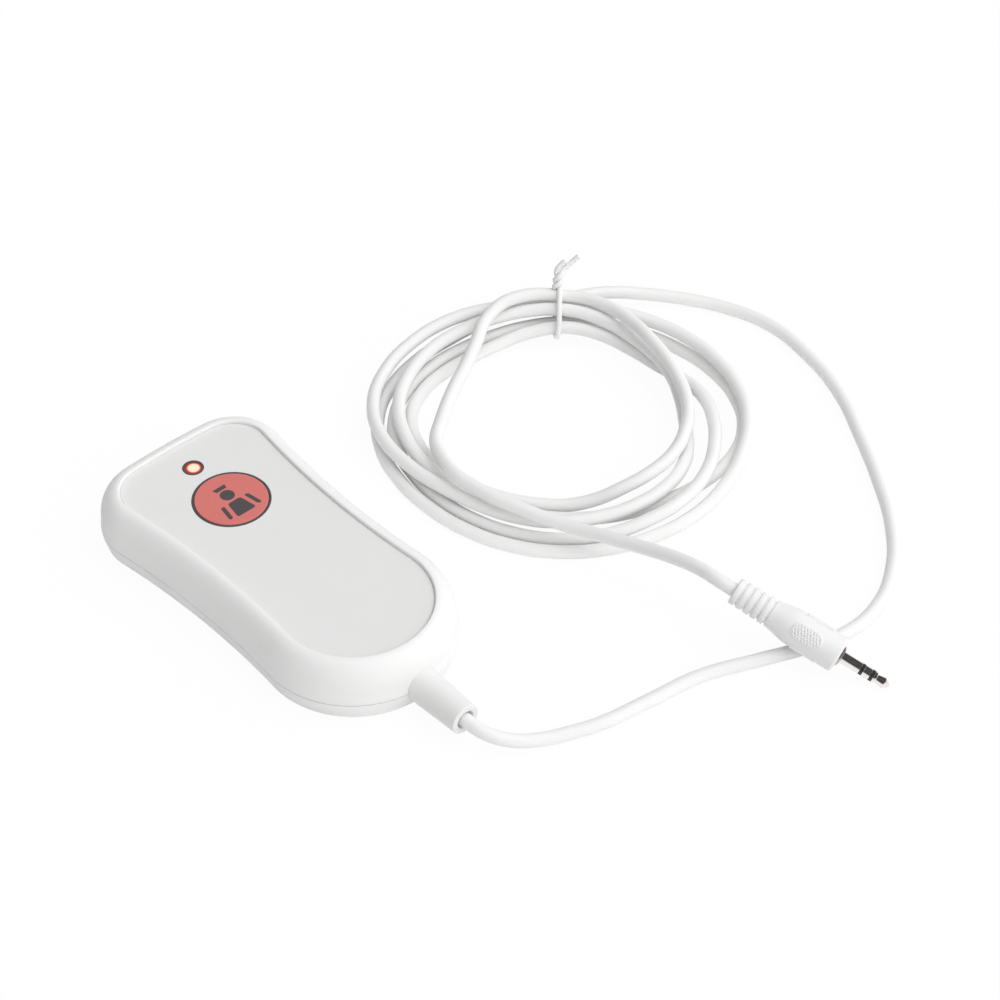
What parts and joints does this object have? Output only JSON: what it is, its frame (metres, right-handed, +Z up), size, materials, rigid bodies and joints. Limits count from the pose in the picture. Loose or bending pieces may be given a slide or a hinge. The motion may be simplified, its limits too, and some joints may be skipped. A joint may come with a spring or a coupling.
{
  "type": "nurse call button",
  "caption": "Hand-held call button with a waisted two-part case, a press button, a lamp, and a tied coil of cord that ends in a straight jack plug.",
  "frame": {"origin": "middle of the case's underside, on the surface that it lies on", "axes": "+Z up through the button, +Y from the cord towards the head of the case, +X to the right seen from above"},
  "size_m": [0.2194, 0.202, 0.0253],
  "materials": {
    "white_case": "fine satin moulding",
    "soft_white": "soft moulded sleeve, satin",
    "grey_film": "printed polyester film, fine matt",
    "adhesive": "pressure-sensitive adhesive",
    "red_button": "satin printed film on a moulded cap",
    "dark_ring": "satin",
    "red_lens": "clear glossy lens",
    "led_red": "diffused epoxy",
    "green_board": "solder mask",
    "black_plastic": "satin",
    "steel": "plain",
    "nickel": "polished nickel plating",
    "cord_pvc": "satin extruded jacket",
    "plug_pvc": "satin moulding",
    "tie_plastic": "glossy plastic coating over wire",
    "ivory_plastic": "natural moulding",
    "core_insulation": "coloured insulation"
  },
  "bodies": {
    "handset": {"upper_shell": "white_case", "lower_shell": "white_case", "case_screws": "steel", "face_overlay": "grey_film", "overlay_adhesive": "adhesive", "button_seal": "dark_ring", "switch_base": "black_plastic", "switch_cover": "steel", "switch_dome": "steel", "switch_pins": "steel", "lamp_lens": "red_lens", "lamp_bezel": "dark_ring", "lamp_led": "led_red", "circuit_board": "green_board", "board_screws": "steel", "resistors": "black_plastic", "board_header": "ivory_plastic", "core_plug": "ivory_plastic", "core_wires": "core_insulation", "cord_clamp": "ivory_plastic", "clamp_screws": "steel", "strain_relief": "soft_white", "cord_end": "cord_pvc", "cord_lead": "cord_pvc", "cord_coil": "cord_pvc", "cord_tail": "cord_pvc", "coil_tie": "tie_plastic", "plug_body": "plug_pvc", "plug_core": "ivory_plastic", "plug_collar": "nickel", "jack_sleeve": "nickel", "jack_ring": "nickel", "jack_tip": "nickel", "jack_insulators": "black_plastic"},
    "button": {"call_button": "red_button", "button_plunger": "ivory_plastic", "switch_stem": "black_plastic"}
  },
  "joints": [
    {"name": "button_press", "type": "slide", "parent": "handset", "child": "button", "axis": [0, 0, -1], "range_m": [0, 0.0005], "stiffness_N_per_m": 3000, "springref_m": -0.0002, "deforming": ["switch_dome"]}
  ]
}
